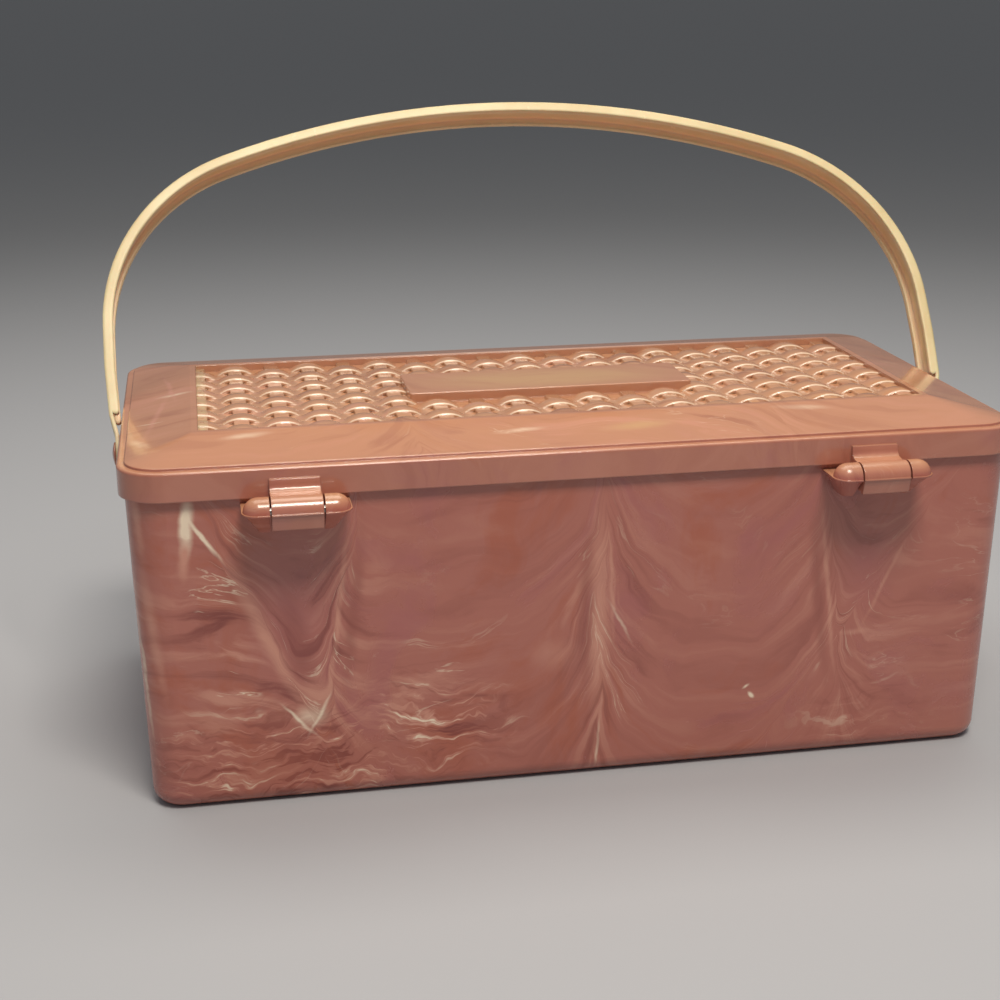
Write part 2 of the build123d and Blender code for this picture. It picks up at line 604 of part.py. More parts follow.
def make_tray():
    """Lift-out tray: four bins along the back, two at the front, and a deck of spool pegs."""
    top_length = BODY_LENGTH - 2 * (BODY_WALL + TRAY_TOP_DROP * DRAFT_SLOPE + TRAY_CLEARANCE)
    top_width = BODY_WIDTH - 2 * (BODY_WALL + TRAY_TOP_DROP * DRAFT_SLOPE + TRAY_CLEARANCE)
    length = top_length - 2 * (TRAY_HEIGHT * DRAFT_SLOPE + TRAY_LIP)
    width = top_width - 2 * (TRAY_HEIGHT * DRAFT_SLOPE + TRAY_LIP)
    outer = rounded_block(length, width, TRAY_CORNER, TRAY_BOTTOM, TRAY_TOP, -BODY_DRAFT)
    outer = fillet(outer.edges().group_by(Axis.Z)[0], TRAY_WALL)
    lip = rounded_block(
        top_length, top_width, TRAY_CORNER + TRAY_LIP, TRAY_TOP - TRAY_LIP_HEIGHT, TRAY_TOP
    )
    floor = TRAY_BOTTOM + TRAY_WALL
    inner = rounded_block(
        length - 2 * TRAY_WALL,
        width - 2 * TRAY_WALL,
        TRAY_CORNER - TRAY_WALL,
        floor,
        TRAY_TOP + OVERSHOOT,
        -BODY_DRAFT,
    )
    tray = outer + lip - inner
    reach = length / 2 - TRAY_WALL / 2
    depth = width / 2 - TRAY_WALL / 2
    wall_top = TRAY_TOP - DIVIDER_DROP
    half_wall = TRAY_WALL / 2
    split = (TRAY_SPLIT - half_wall, TRAY_SPLIT + half_wall)
    root = floor - half_wall
    tray += span_box((-reach, reach), split, (root, wall_top))
    for index in range(1, BIN_COUNT):
        x = -reach + 2 * reach * index / BIN_COUNT
        tray += span_box((x - half_wall, x + half_wall), (-depth, TRAY_SPLIT), (root, wall_top))
    deck_end = reach - SIDE_BIN_LENGTH
    deck_top = floor + PEG_DECK_RISE
    for side in (-1, 1):
        x = side * deck_end
        tray += span_box((x - half_wall, x + half_wall), (TRAY_SPLIT, depth), (root, wall_top))
    tray += span_box((-deck_end, deck_end), (TRAY_SPLIT, depth), (root, deck_top))
    pitch_x = 2 * deck_end / PEG_COLUMNS
    pitch_y = (depth - TRAY_SPLIT) / PEG_ROWS
    peg = Cylinder(PEG_DIAMETER / 2, PEG_HEIGHT, align=(Align.CENTER, Align.CENTER, Align.MIN))
    peg = fillet(peg.edges().group_by(Axis.Z)[-1], PEG_DIAMETER / 4)
    for column in range(PEG_COLUMNS):
        for row in range(PEG_ROWS):
            x = -deck_end + pitch_x * (column + 0.5)
            y = TRAY_SPLIT + pitch_y * (row + 0.5)
            tray += Pos(x, y, deck_top - half_wall) * peg
    return tray


def main():
    stud = make_stud()
    pin = make_pin()
    pieces = {
        "box_body": make_body(),
        "lid": make_lid(),
        "handle": make_handle(),
        "handle_stud_right": stud,
        "handle_stud_left": Rot(0, 0, 180) * stud,
        "hinge_pin_left": Pos(-HINGE_SPREAD, 0, 0) * pin,
        "hinge_pin_right": Pos(HINGE_SPREAD, 0, 0) * pin,
        "clasp": make_clasp(),
        "clasp_pin": Rot(0, 0, 180) * pin,
        "lift_out_tray": make_tray(),
    }
    os.makedirs("parts", exist_ok=True)
    for name, shape in pieces.items():
        shape.label = name
        export_step(shape, f"parts/{name}.step")


main()
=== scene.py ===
import math

import bmesh
import bpy
from bpy.props import FloatProperty, FloatVectorProperty, IntProperty, PointerProperty
from bpy.types import Operator, Panel, PropertyGroup
from mathutils import Matrix, Vector


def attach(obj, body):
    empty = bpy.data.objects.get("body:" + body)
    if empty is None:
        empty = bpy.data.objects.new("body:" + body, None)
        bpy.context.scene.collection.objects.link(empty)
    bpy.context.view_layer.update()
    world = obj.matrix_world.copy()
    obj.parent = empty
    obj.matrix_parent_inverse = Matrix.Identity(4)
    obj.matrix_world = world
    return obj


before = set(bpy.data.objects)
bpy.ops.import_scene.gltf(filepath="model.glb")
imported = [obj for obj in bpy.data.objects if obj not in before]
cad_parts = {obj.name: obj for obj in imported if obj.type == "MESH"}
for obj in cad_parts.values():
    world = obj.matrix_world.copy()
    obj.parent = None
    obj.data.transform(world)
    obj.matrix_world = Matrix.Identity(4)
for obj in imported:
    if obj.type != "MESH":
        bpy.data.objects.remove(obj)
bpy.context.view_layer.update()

bl_info = {
    "name": "Sewing Caddy",
    "version": (1, 0, 0),
    "blender": (4, 5, 0),
    "location": "View3D > Sidebar > Caddy",
    "description": "Dresses a marbled sewing caddy with its finishes, woven panel and studio",
    "category": "Object",
}

# Metres, in the frame of the model: the origin is the middle of the underside, +X runs along
# the length, +Z is up, and the hinges are on the -Y side.
MM = 0.001

# The lid's top as moulded: half sizes of the sunk panel and of the plaque, then the heights of
# the panel's floor and of the ridge round it.
PANEL_HALF_LENGTH = 136.6 * MM
PANEL_HALF_WIDTH = 50.8 * MM
PLAQUE_HALF_LENGTH = 56.0 * MM
PLAQUE_HALF_WIDTH = 15.75 * MM
PANEL_FLOOR = 132.0 * MM
RIDGE = 135.0 * MM
# Height at which the flow lines of the melt have their given X, in millimetres
HALF_HEIGHT = 60.0
# Half depth of the melt's ovals, in metres: they run right through the plastic
RIGHT_THROUGH = 1000.0

# Places and sizes of the two lights, and the point that they face
KEY_PLACE = (0.05, -0.60, 1.15)
KEY_SIZE = (0.40, 0.30)
TOP_PLACE = (0.0, 0.30, 1.25)
TOP_SIZE = (1.2, 0.6)
LIT_POINT = (0.0, 0.0, 0.10)
FLOOR_RADIUS = 20.0

# Inputs and output of the Mix node when it mixes colours
MIX_SHARE, MIX_A, MIX_B = 0, 6, 7
MIXED = 2


def linear_colour(code):
    """Turns an sRGB hex value into linear red, green, blue and alpha."""
    shares = [int(code[start:start + 2], 16) / 255 for start in (1, 3, 5)]
    return [s / 12.92 if s <= 0.04045 else ((s + 0.055) / 1.055) ** 2.4 for s in shares] + [1.0]


def colour_property(name, description, code):
    """Colour setting with its default given as an sRGB hex value."""
    return FloatVectorProperty(
        name=name, description=description, subtype="COLOR", size=4, min=0.0, max=1.0,
        default=linear_colour(code),
    )


def length_property(name, description, millimetres):
    """Length setting with its default given in millimetres."""
    return FloatProperty(
        name=name, description=description, subtype="DISTANCE", unit="LENGTH",
        default=millimetres * MM,
    )


class CaddyColours(PropertyGroup):
    """Colours of the mouldings, the bail, the pins, the lights and the studio."""

    terracotta: colour_property("Terracotta", "Main colour of the box", "#B36D5F")
    brick: colour_property("Brick", "Warmer clouds in the box", "#B0624D")
    mauve: colour_property("Mauve", "Cool clouds in the plastic", "#AF6862")
    wine: colour_property("Wine", "Dark streaks", "#823C34")
    rose: colour_property("Rose", "Light feathery streaks", "#D0937F")
    cream: colour_property("Cream", "Bright threads in the plastic", "#F6E2C8")
    # Tan is the colour of the lid's lighter streaks and also of the painted sheen on its upward and
    # raised faces.
    tan: colour_property("Tan", "Lighter plastic of the lid", "#C59A70")
    bail: colour_property("Bail", "Ribs of the handle", "#E2D2A6")
    bail_aged: colour_property("Aged bail", "Yellowed stretches of the handle", "#D6C394")
    # Painted light: the web's colour stands in for light bounced from the box into it; worn nicks show
    # it too.
    bail_web: colour_property("Bail web", "Sheltered web between the ribs", "#FFE3BE")
    tray: colour_property("Tray", "Lift-out tray", "#DCCDAE")
    tray_shade: colour_property("Tray shade", "Darker clouds in the tray", "#CDBB98")
    dust: colour_property("Dust", "Old dust in the corners of the panel", "#B0A47C")
    steel: colour_property("Steel", "Hinge and clasp pins", "#B9B7B2")
    floor: colour_property("Floor", "Plain studio floor", "#ACAFB4")
    floor_far: colour_property("Far floor", "Studio floor away from the caddy", "#85878A")
    lamp: colour_property("Lamp", "Light of both lamps", "#FFF4E6")
    sky: colour_property("Sky", "Light of the room", "#F1F2F4")


class CaddyWeave(PropertyGroup):
    """Sizes of the basket weave in the lid's sunk panel, just over the moulded one."""

    rows: IntProperty(name="Rows", description="Strands that run along the lid", default=13)
    columns: IntProperty(name="Columns", description="Stakes that run across the lid", default=19)
    margin: length_property("Margin", "Long side of the panel to the first strand's pitch", 0.3)
    first_stake: length_property("First stake", "Left end of the panel to the first stake", 0.8)
    last_stake: length_property("Last stake", "Last stake to the right end of the panel", 3.4)
    strand_width: length_property("Strand width", "Width of a strand", 7.74)
    strand_thick: length_property("Strand thickness", "Thickness of an arch", 1.4)
    strand_round: length_property("Strand rounding", "Rounding along an arch's upper edges", 0.7)
    arch_rise: length_property("Arch rise", "Crest of an arch above its feet", 2.52)
    foot_lap: length_property("Foot lap", "Arch past the middle between two stakes", 0.2)
    stake_width: length_property("Stake width", "Width of a stake at its foot", 6.2)
    stake_draw: length_property("Stake draw", "How far its top is drawn in on each side", 0.4)
    stake_height: length_property("Stake height", "Top of a stake above the panel", 1.7)
    stake_round: length_property("Stake rounding", "Rounding along a stake's upper edges", 0.3)
    sole_height: length_property("Sole height", "Low stretch of a strand above the panel", 0.4)
    sole_draw: length_property("Sole draw", "How far its top is drawn in on each side", 0.1)


class CaddyStage(PropertyGroup):
    """Camera and lights."""

    camera_place: FloatVectorProperty(
        name="Camera place", description="Where the camera stands", subtype="TRANSLATION",
        unit="LENGTH", default=(-0.13307, -0.61807, 0.28978),
    )
    pitch: FloatProperty(
        name="Pitch", description="How far the camera looks down", subtype="ANGLE",
        default=math.radians(18.002),
    )
    yaw: FloatProperty(
        name="Yaw", description="How far the camera turns to the right", subtype="ANGLE",
        default=math.radians(10.533),
    )
    roll: FloatProperty(
        name="Roll", description="Camera roll", subtype="ANGLE", default=math.radians(-0.16),
    )
    focal_pixels: FloatProperty(
        name="Focal length", description="In pixels of a frame 1000 pixels wide", default=1627.43,
    )
    key_power: FloatProperty(name="Key light", description="Power in watts", default=10.8)
    top_power: FloatProperty(name="Top light", description="Power in watts", default=7.6)
    sky_strength: FloatProperty(name="Sky", description="Room's light overhead", default=0.36)
    horizon_share: FloatProperty(
        name="Horizon", description="Room's light at eye level, as a share of that overhead",
        default=0.5,
    )


def add_node(tree, kind, inputs=None, stops=None, **settings):
    """Adds a shader node; each input takes a value, a socket or another node's first output."""
    made = tree.nodes.new("ShaderNode" + kind)
    for name, value in settings.items():
        setattr(made, name, value)
    for name, value in (inputs or {}).items():
        if isinstance(value, bpy.types.Node):
            value = next(socket for socket in value.outputs if socket.enabled)
        if isinstance(value, bpy.types.NodeSocket):
            tree.links.new(value, made.inputs[name])
        else:
            made.inputs[name].default_value = value
    if stops:
        ramp = made.color_ramp
        while len(ramp.elements) < len(stops):
            ramp.elements.new(0.5)
        for element, (place, colour) in zip(ramp.elements, stops):
            element.position = place
            element.color = colour
    return made


def new_material(name):
    """Empty node material and its tree."""
    material = bpy.data.materials.new(name)
    material.use_nodes = True
    material.node_tree.nodes.clear()
    return material, material.node_tree


def finish_material(tree, shader):
    """Joins a material's shader to its output."""
    add_node(tree, "OutputMaterial", {"Surface": shader})


def flow_height(tree, x, z, flow_lines):
    """Height of the melt's flow: it rises or falls near each line where two streams met.

    The pull is the logarithm of the distance as a share of the reach, so it is strong at the
    line, where a small softening keeps it finite, and nothing at the reach.
    """
    softening = 0.10
    height = z
    for middle, lean, reach, left_pull, right_pull in flow_lines:
        foot = (middle - lean * HALF_HEIGHT) * MM
        line = add_node(tree, "Math", {0: z, 1: lean, 2: foot}, operation="MULTIPLY_ADD")
        offset = add_node(tree, "Math", {0: x, 1: line}, operation="SUBTRACT")
        distance = add_node(tree, "Math", {0: offset}, operation="ABSOLUTE")
        share = add_node(tree, "Math", {0: distance, 1: reach * MM}, operation="DIVIDE")
        soft = add_node(tree, "Math", {0: share, 1: softening}, operation="ADD")
        curve = add_node(tree, "Math", {0: soft, 1: math.e}, operation="LOGARITHM")
        inside = add_node(tree, "Math", {0: curve, 1: 0.0}, operation="MINIMUM")
        side = add_node(tree, "Math", {0: offset, 1: 0.0}, operation="GREATER_THAN")
        pull = add_node(
            tree, "MapRange",
            {"Value": side, "To Min": left_pull * reach * MM, "To Max": right_pull * reach * MM},
        )
        term = add_node(tree, "Math", {0: inside, 1: pull}, operation="MULTIPLY")
        height = add_node(tree, "Math", {0: height, 1: term}, operation="ADD")
    return height


def shaken(tree, place, scale, reach):
    """Place moved about by a noise: its scale per metre, and how far it reaches in metres."""
    noise = add_node(tree, "TexNoise", {"Vector": place, "Scale": scale, "Detail": 3.0})
    centred = add_node(
        tree, "VectorMath", {0: noise.outputs["Color"], 1: (0.5, 0.5, 0.5)}, operation="SUBTRACT"
    )
    push = add_node(tree, "VectorMath", {0: centred, "Scale": reach}, operation="SCALE")
    return add_node(tree, "VectorMath", {0: place, 1: push}, operation="ADD")


def melt_oval(tree, place, x, z, half_x, half_z, lean):
    """Soft oval in the plane of X and Z, in millimetres: 1 in its middle, 0 outside it."""
    inside = add_node(
        tree, "Mapping",
        {"Vector": place, "Location": (x * MM, 0.0, z * MM),
         "Rotation": (0.0, math.radians(lean), 0.0), "Scale": (half_x * MM, RIGHT_THROUGH, half_z * MM)},
        vector_type="TEXTURE",
    )
    distance = add_node(tree, "VectorMath", {0: inside}, operation="LENGTH")
    return add_node(
        tree, "MapRange", {"Value": distance.outputs["Value"], "From Min": 1.0, "From Max": 0.0},
        interpolation_type="SMOOTHSTEP",
    )


def box_place(tree, place):
    """The box's long sides: the far one is the near one turned half round."""
    axes = add_node(tree, "SeparateXYZ", {"Vector": place})
    side = add_node(tree, "Math", {0: axes.outputs["Y"]}, operation="SIGN")
    turned = add_node(tree, "Math", {0: axes.outputs["X"], 1: side}, operation="MULTIPLY")
    along = add_node(tree, "Math", {0: turned, 1: -1.0}, operation="MULTIPLY")
    return add_node(tree, "CombineXYZ", {"X": along, "Y": axes.outputs["Y"], "Z": axes.outputs["Z"]})


def lid_place(tree, place):
    """The lid's top, tipped up so that its width is the height of the pattern."""
    return add_node(tree, "Mapping", {"Vector": place, "Rotation": (math.pi / 2, 0.0, 0.0)})


def strongest(tree, place, areas, least):
    """Strength of the strongest of some areas at each point, and the least one elsewhere."""
    share = least
    for strength, *oval in areas:
        part = add_node(
            tree, "Math", {0: melt_oval(tree, place, *oval), 1: strength}, operation="MULTIPLY"
        )
        share = add_node(tree, "Math", {0: share, 1: part}, operation="MAXIMUM")
    return share


def painted_top_sheen(tree, place, top, base, colours, pattern):
    """Painted sheen: lighter tan on upward faces, standing in for the light from above, and on all that
    stands higher than the panel's floor, lifting the shade of its walls and hollows.
    """
    height = add_node(tree, "SeparateXYZ", {"Vector": place}).outputs["Z"]
    raised = add_node(
        tree, "MapRange",
        {"Value": height, "From Min": PANEL_FLOOR - 1.0 * MM, "From Max": PANEL_FLOOR - 0.2 * MM},
    )
    any_side = add_node(tree, "Math", {0: top, 1: pattern["side_tan"]}, operation="MAXIMUM")
    open_to_light = add_node(tree, "Math", {0: any_side, 1: raised}, operation="MAXIMUM")
    share = add_node(tree, "Math", {0: open_to_light, 1: pattern["tan"]}, operation="MULTIPLY")
    return add_node(
        tree, "Mix", {MIX_SHARE: share, MIX_A: base, MIX_B: colours.tan}, data_type="RGBA"
    ).outputs[MIXED]


def toned(tree, colour, noise, where, tones):
    """Colour with streaks of some tones, each rising between two values of a noise."""
    for none_at, full_at, most, tone in tones:
        streak = add_node(
            tree, "MapRange",
            {"Value": noise, "From Min": none_at, "From Max": full_at, "To Max": most},
            interpolation_type="SMOOTHSTEP",
        )
        amount = add_node(tree, "Math", {0: streak, 1: where}, operation="MULTIPLY")
        colour = add_node(
            tree, "Mix", {MIX_SHARE: amount, MIX_A: colour, MIX_B: tone}, data_type="RGBA"
        ).outputs[MIXED]
    return colour


def wavy_layers(tree, colour, laid, where, colours):
    """Wavy layers near the foot, some 4 mm apart, with crisp edges."""
    waves = shaken(tree, laid, 40.0, 0.030)
    flat = add_node(tree, "VectorMath", {0: waves, 1: (0.14, 0.2, 1.0)}, operation="MULTIPLY")
    layers = add_node(
        tree, "TexNoise",
        {"Vector": flat, "Scale": 240.0, "Detail": 4.0, "Roughness": 0.58, "Distortion": 0.6},
    )
    tones = (
        (0.48, 0.37, 0.85, colours.wine),
        (0.53, 0.61, 0.9, colours.rose),
        (0.61, 0.68, 0.9, colours.cream),
    )
    return toned(tree, colour, layers, where, tones)


def single_streaks(tree, colour, laid, feathers, top, colours, pattern):
    """Streaks that stand out on their own, with ragged edges and broken up by the feathers."""
    # Their edges wander by about half a millimetre to each side.
    ragged = shaken(tree, laid, 110.0, 0.0025)
    broken = add_node(
        tree, "MapRange", {"Value": feathers, "From Min": 0.36, "From Max": 0.60, "To Min": 0.45},
    )
    if pattern["upper_only"]:
        broken = add_node(tree, "Math", {0: broken, 1: top}, operation="MULTIPLY")
    for tone, strength, *oval in pattern["streaks"]:
        most = add_node(
            tree, "Math", {0: melt_oval(tree, ragged, *oval), 1: strength}, operation="MULTIPLY"
        )
        amount = add_node(tree, "Math", {0: most, 1: broken}, operation="MULTIPLY")
        colour = add_node(
            tree, "Mix", {MIX_SHARE: amount, MIX_A: colour, MIX_B: getattr(colours, tone)},
            data_type="RGBA",
        ).outputs[MIXED]
    return colour


def bright_threads(tree, colour, flow, stretched, where, colours):
    """Cream threads, about half a millimetre wide, along the crests of a noise."""
    threads = add_node(
        tree, "TexNoise",
        {"Vector": stretched, "Scale": 70.0, "Detail": 5.0, "Roughness": 0.55, "Distortion": 0.9},
    )
    off_crest = add_node(tree, "Math", {0: threads, 1: 0.53}, operation="SUBTRACT")
    crest = add_node(tree, "Math", {0: off_crest}, operation="ABSOLUTE")
    thin = add_node(
        tree, "MapRange", {"Value": crest, "From Min": 0.012, "From Max": 0.0},
        interpolation_type="SMOOTHSTEP",
    )
    stretches = add_node(tree, "TexNoise", {"Vector": flow, "Scale": 48.0, "Detail": 2.0})
    stretch = add_node(
        tree, "MapRange", {"Value": stretches, "From Min": 0.50, "From Max": 0.62, "To Max": 0.8},
        interpolation_type="SMOOTHSTEP",
    )
    thread = add_node(tree, "Math", {0: thin, 1: stretch}, operation="MULTIPLY")
    keen = add_node(tree, "Math", {0: where, 1: 1.6}, operation="POWER")
    bright = add_node(tree, "Math", {0: thread, 1: keen}, operation="MULTIPLY")
    return add_node(
        tree, "Mix", {MIX_SHARE: bright, MIX_A: colour, MIX_B: colours.cream}, data_type="RGBA"
    ).outputs[MIXED]


def marbled_plastic(name, colours, pattern):
    """Injection-moulded polystyrene with colours that were only half mixed in the melt.

    The streams leave soft clouds, feathery streaks that bend towards the lines where they
    meet, and a few bright threads. The mould was polished, so the surface is glossy.
    """
    material, tree = new_material(name)
    place = add_node(tree, "TexCoord").outputs["Object"]
    facing = add_node(tree, "SeparateXYZ", {"Vector": add_node(tree, "TexCoord").outputs["Normal"]})
    top = add_node(tree, "MapRange", {"Value": facing.outputs["Z"], "From Min": 0.2, "From Max": 0.9})

    laid = pattern["lay"](tree, place)
    # Streams wander by some millimetres over about 40 mm.
    bent = shaken(tree, laid, 24.0, 0.018)
    axes = add_node(tree, "SeparateXYZ", {"Vector": bent})
    height = flow_height(tree, axes.outputs["X"], axes.outputs["Z"], pattern["flow_lines"])
    seeded = add_node(tree, "Math", {0: axes.outputs["Y"], 1: pattern["seed"]}, operation="ADD")
    flow = add_node(tree, "CombineXYZ", {"X": axes.outputs["X"], "Y": seeded, "Z": height})

    # Clouds some 50 mm across.
    clouds = add_node(
        tree, "TexNoise",
        {"Vector": flow, "Scale": 20.0, "Detail": 6.0, "Roughness": 0.6, "Distortion": 0.9},
    )
    base = add_node(
        tree, "ValToRGB", {"Fac": clouds},
        stops=[
            (0.34, colours.brick), (0.46, colours.terracotta), (0.56, colours.terracotta),
            (0.68, colours.mauve),
        ],
    )
    # Painted sheen: tan on upward and raised faces stands in for the light from above.
    colour = painted_top_sheen(tree, place, top, base.outputs["Color"], colours, pattern)

    # Feathery streaks: 2 to 8 mm wide across the flow and five times as long along it.
    stretched = add_node(tree, "VectorMath", {0: flow, 1: (0.2, 0.3, 1.0)}, operation="MULTIPLY")
    feathers = add_node(
        tree, "TexNoise",
        {"Vector": stretched, "Scale": 88.0, "Detail": 6.0, "Roughness": 0.56, "Distortion": 0.8},
    )
    lively = strongest(tree, bent, pattern["lively"], pattern["calm"])
    tones = ((0.50, 0.66, 1.0, colours.rose), (0.48, 0.33, 1.0, colours.wine))
    colour = toned(tree, colour, feathers, lively, tones)
    if pattern["layered"]:
        layered = strongest(tree, bent, pattern["layered"], 0.0)
        colour = wavy_layers(tree, colour, laid, layered, colours)
    colour = single_streaks(tree, colour, laid, feathers, top, colours, pattern)
    colour = bright_threads(tree, colour, flow, stretched, lively, colours)

    smooth, dull = pattern["roughness"]
    roughness = add_node(
        tree, "MapRange",
        {"Value": clouds, "From Min": 0.3, "From Max": 0.7, "To Min": smooth, "To Max": dull},
    ).outputs["Result"]
    # Pale rims painted on the strands' rounded edges as highlights, where the pattern asks for them.
    if pattern["wear_and_rim_highlight"]:
        colour = painted_rim_highlights(tree, colour, facing, colours, pattern["wear_and_rim_highlight"])
    if pattern["dusty"]:
        colour, roughness = dust_over(tree, place, colour, roughness, colours)

    # Flow marks stand some hundredths of a millimetre proud.
    marks = add_node(tree, "Bump", {"Height": feathers, "Strength": 0.06, "Distance": 0.3 * MM})
    edges = add_node(tree, "Bevel", {"Radius": pattern["edge"] * MM, "Normal": marks}, samples=4)
    shader = add_node(
        tree, "BsdfPrincipled",
        {"Base Color": colour, "Roughness": roughness, "IOR": 1.59, "Normal": edges,
         "Coat Weight": pattern["gloss"], "Coat Roughness": 0.06, "Coat Normal": edges},
    )
    finish_material(tree, shader)
    return material


def painted_rim_highlights(tree, colour, facing, colours, most):
    """Painted highlights: pale rims along the rounded long edges of the strands, standing in for the
    light that they catch.
    """
    sideways = add_node(tree, "Math", {0: facing.outputs["Y"]}, operation="ABSOLUTE")
    slant = add_node(tree, "Math", {0: sideways, 1: facing.outputs["Z"]}, operation="MULTIPLY")
    rim = add_node(
        tree, "MapRange", {"Value": slant, "From Min": 0.28, "From Max": 0.36, "To Max": most},
        interpolation_type="SMOOTHSTEP",
    )
    return add_node(
        tree, "Mix", {MIX_SHARE: rim, MIX_A: colour, MIX_B: colours.cream}, data_type="RGBA"
    ).outputs[MIXED]


def dust_over(tree, place, colour, roughness, colours):
    """Greenish dust in the sunk panel: a strip along its left end, and a little in corners."""
    sheltered = add_node(tree, "AmbientOcclusion", {"Distance": 2.2 * MM}, samples=8)
    deep = add_node(
        tree, "MapRange", {"Value": sheltered.outputs["AO"], "From Min": 0.55, "From Max": 0.20},
        interpolation_type="SMOOTHSTEP",
    )
    axes = add_node(tree, "SeparateXYZ", {"Vector": place})
    left_strip = add_node(
        tree, "MapRange",
        {"Value": axes.outputs["X"], "From Min": 4.4 * MM - PANEL_HALF_LENGTH,
         "From Max": 2.2 * MM - PANEL_HALF_LENGTH, "To Max": 0.7},
        interpolation_type="SMOOTHSTEP",
    )
    grains = add_node(
        tree, "TexNoise", {"Vector": place, "Scale": 420.0, "Detail": 3.0, "Roughness": 0.7},
    )
    patchy = add_node(tree, "MapRange", {"Value": grains, "From Min": 0.38, "From Max": 0.62})
    height = axes.outputs["Z"]
    above = add_node(
        tree, "MapRange",
        {"Value": height, "From Min": PANEL_FLOOR - 0.8 * MM, "From Max": PANEL_FLOOR - 0.4 * MM},
    )
    below = add_node(
        tree, "MapRange",
        {"Value": height, "From Min": RIDGE + 0.2 * MM, "From Max": RIDGE - 0.6 * MM},
    )
    faint = add_node(tree, "Math", {0: deep, 1: 0.25}, operation="MULTIPLY")
    share = add_node(tree, "Math", {0: faint, 1: left_strip}, operation="MAXIMUM")
    in_length, in_width = (
        add_node(
            tree, "Math",
            {0: add_node(tree, "Math", {0: axes.outputs[axis]}, operation="ABSOLUTE"), 1: half},
            operation="LESS_THAN",
        )
        for axis, half in (("X", PANEL_HALF_LENGTH), ("Y", PANEL_HALF_WIDTH))
    )
    for factor in (patchy, above, below, in_length, in_width):
        share = add_node(tree, "Math", {0: share, 1: factor}, operation="MULTIPLY")
    dusted = add_node(
        tree, "Mix", {MIX_SHARE: share, MIX_A: colour, MIX_B: colours.dust}, data_type="RGBA"
    )
    dull = add_node(tree, "MapRange", {"Value": share, "To Min": roughness, "To Max": 0.9})
    return dusted.outputs[MIXED], dull.outputs["Result"]


def bail_plastic(name, colours):
    """Cream polyethylene, yellowed and handled: satin ribs, and a lighter, warmer colour painted into
    the sheltered web as painted light bounced from the box.
    """
    material, tree = new_material(name)
    place = add_node(tree, "TexCoord").outputs["Object"]
    sheltered = add_node(tree, "AmbientOcclusion", {"Distance": 5.0 * MM}, samples=8)
    # Painted light: the sheltered web, found by occlusion, takes the lighter, warmer bail_web colour in
    # place of the light bounced onto it from the box.
    web = add_node(
        tree, "MapRange", {"Value": sheltered.outputs["AO"], "From Min": 0.93, "From Max": 0.60},
        interpolation_type="SMOOTHSTEP",
    )
    clouds = add_node(
        tree, "TexNoise", {"Vector": place, "Scale": 30.0, "Detail": 4.0, "Roughness": 0.6},
    )
    tinted = add_node(
        tree, "ValToRGB", {"Fac": clouds},
        stops=[(0.35, colours.bail_aged), (0.60, colours.bail)],
    )
    colour = add_node(
        tree, "Mix",
        {MIX_SHARE: web.outputs["Result"], MIX_A: tinted.outputs["Color"], MIX_B: colours.bail_web},
        data_type="RGBA",
    )
    nicks = add_node(tree, "TexNoise", {"Vector": place, "Scale": 260.0, "Detail": 3.0})
    nick = add_node(
        tree, "MapRange", {"Value": nicks, "From Min": 0.68, "From Max": 0.76, "To Max": 0.5},
    )
    wear_and_rim_highlight = add_node(
        tree, "Mix",
        {MIX_SHARE: nick.outputs["Result"], MIX_A: colour.outputs[MIXED], MIX_B: colours.bail_web},
        data_type="RGBA",
    )
    bump = add_node(tree, "Bump", {"Height": nicks, "Strength": 0.12, "Distance": 0.2 * MM})
    edges = add_node(tree, "Bevel", {"Radius": 1.6 * MM, "Normal": bump}, samples=6)
    shader = add_node(
        tree, "BsdfPrincipled",
        {"Base Color": wear_and_rim_highlight.outputs[MIXED], "Roughness": 0.36, "IOR": 1.51, "Normal": edges,
         "Subsurface Weight": 0.12, "Subsurface Scale": 0.004},
    )
    finish_material(tree, shader)
    return material


def tray_plastic(name, colours):
    """Ivory polystyrene in a satin mould, with faint flow clouds and fine grain."""
    material, tree = new_material(name)
    place = add_node(tree, "TexCoord").outputs["Object"]
    clouds = add_node(
        tree, "TexNoise", {"Vector": place, "Scale": 18.0, "Detail": 5.0, "Distortion": 1.0},
    )
    colour = add_node(
        tree, "ValToRGB", {"Fac": clouds},
        stops=[(0.35, colours.tray_shade), (0.62, colours.tray)],
    )
    grain = add_node(tree, "TexNoise", {"Vector": place, "Scale": 900.0, "Detail": 2.0})
    bump = add_node(tree, "Bump", {"Height": grain, "Strength": 0.15, "Distance": 0.05 * MM})
    edges = add_node(tree, "Bevel", {"Radius": 0.35 * MM, "Normal": bump}, samples=4)
    shader = add_node(
        tree, "BsdfPrincipled",
        {"Base Color": colour.outputs["Color"], "Roughness": 0.45, "IOR": 1.59, "Normal": edges},
    )
    finish_material(tree, shader)
    return material


def pin_steel(name, colours):
    """Drawn steel wire: bright, with fine rings where the drawing die left them."""
    material, tree = new_material(name)
    place = add_node(tree, "TexCoord").outputs["Object"]
    rings = add_node(tree, "TexNoise", {"Vector": place, "Scale": 1500.0, "Detail": 2.0})
    dull = add_node(tree, "MapRange", {"Value": rings, "To Min": 0.22, "To Max": 0.42})
    bump = add_node(tree, "Bump", {"Height": rings, "Strength": 0.1, "Distance": 0.02 * MM})
    shader = add_node(
        tree, "BsdfPrincipled",
        {"Base Color": colours.steel, "Metallic": 1.0, "Roughness": dull.outputs["Result"],
         "Normal": bump},
    )
    finish_material(tree, shader)
    return material


